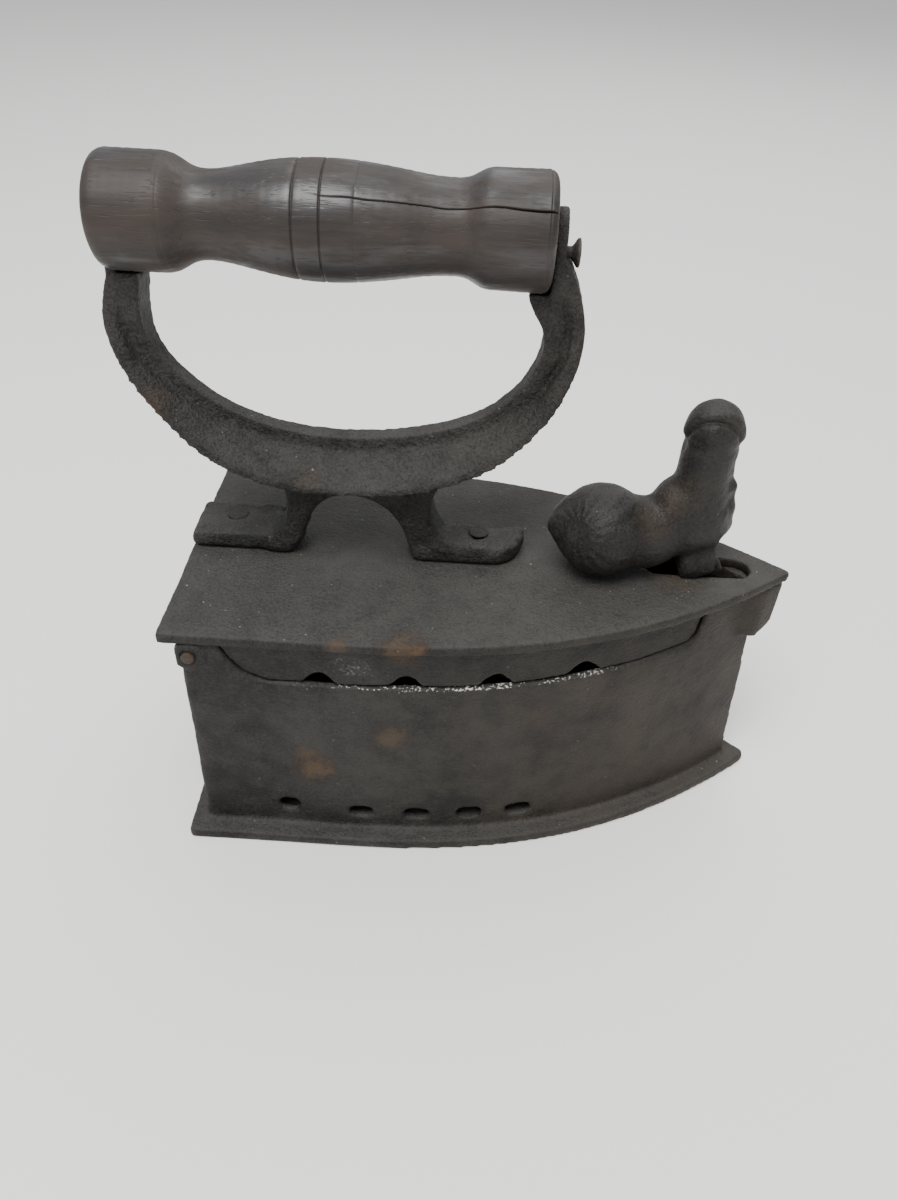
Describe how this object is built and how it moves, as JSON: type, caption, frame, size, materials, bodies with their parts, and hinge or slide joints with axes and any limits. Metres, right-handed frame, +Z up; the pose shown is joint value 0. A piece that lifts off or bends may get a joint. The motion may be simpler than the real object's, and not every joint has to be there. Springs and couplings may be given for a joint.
{
  "type": "charcoal iron",
  "caption": "Hollow cast-iron pressing iron heated by embers, with a hinged lid, a handle bow with a turned wooden grip, and a figure latch.",
  "frame": {"origin": "on the ironing face, under the middle of the lid's length, on the middle plane", "axes": "+X forwards to the pointed tip, +Y to the left side, +Z up"},
  "size_m": [0.2246, 0.1098, 0.2192],
  "materials": {
    "body_iron": "rough sand-cast skin with brown rust patches and ash dust",
    "lid_iron": "rough sand-cast skin, slightly dusty",
    "bow_iron": "rough cast with ragged fettled edges",
    "latch_iron": "worn smooth casting with a little brown rust",
    "grate_iron": "heat-scaled, ash-covered cast iron",
    "rivet_iron": "dark hammered wrought iron",
    "pin_steel": "dark drawn wire with brown rust",
    "grip_wood": "old dark-stained turned hardwood, worn, one long crack"
  },
  "bodies": {
    "base": {"body": "body_iron", "hinge_pin": "pin_steel"},
    "lid_assembly": {"lid": "lid_iron", "handle_bow": "bow_iron", "foot_rivets": "rivet_iron", "rivet_burrs": "rivet_iron", "wooden_grip": "grip_wood", "latch_pin": "pin_steel"},
    "rod": {"grip_rod": "pin_steel", "rod_washer": "pin_steel"},
    "latch": {"rooster_latch": "latch_iron"},
    "grate": {"grate_bars": "grate_iron", "grate_rails": "grate_iron", "grate_feet": "grate_iron"}
  },
  "joints": [
    {"name": "lid_hinge", "type": "hinge", "parent": "base", "child": "lid_assembly", "pos_m": [-0.0934, 0, 0.086], "axis": [0, -1, 0], "range_deg": [0, 98]},
    {"name": "latch_tilt", "type": "hinge", "parent": "lid_assembly", "child": "latch", "pos_m": [0.068, 0, 0.087], "axis": [0, 1, 0], "range_deg": [0, 15]},
    {"name": "rod_slide", "type": "slide", "parent": "lid_assembly", "child": "rod", "axis": [-1, 0, 0], "range_m": [-0.0013, 0.0017]},
    {"name": "grate_lift", "type": "slide", "parent": "base", "child": "grate", "axis": [0, 0, 1], "range_m": [0, 0.04]}
  ]
}
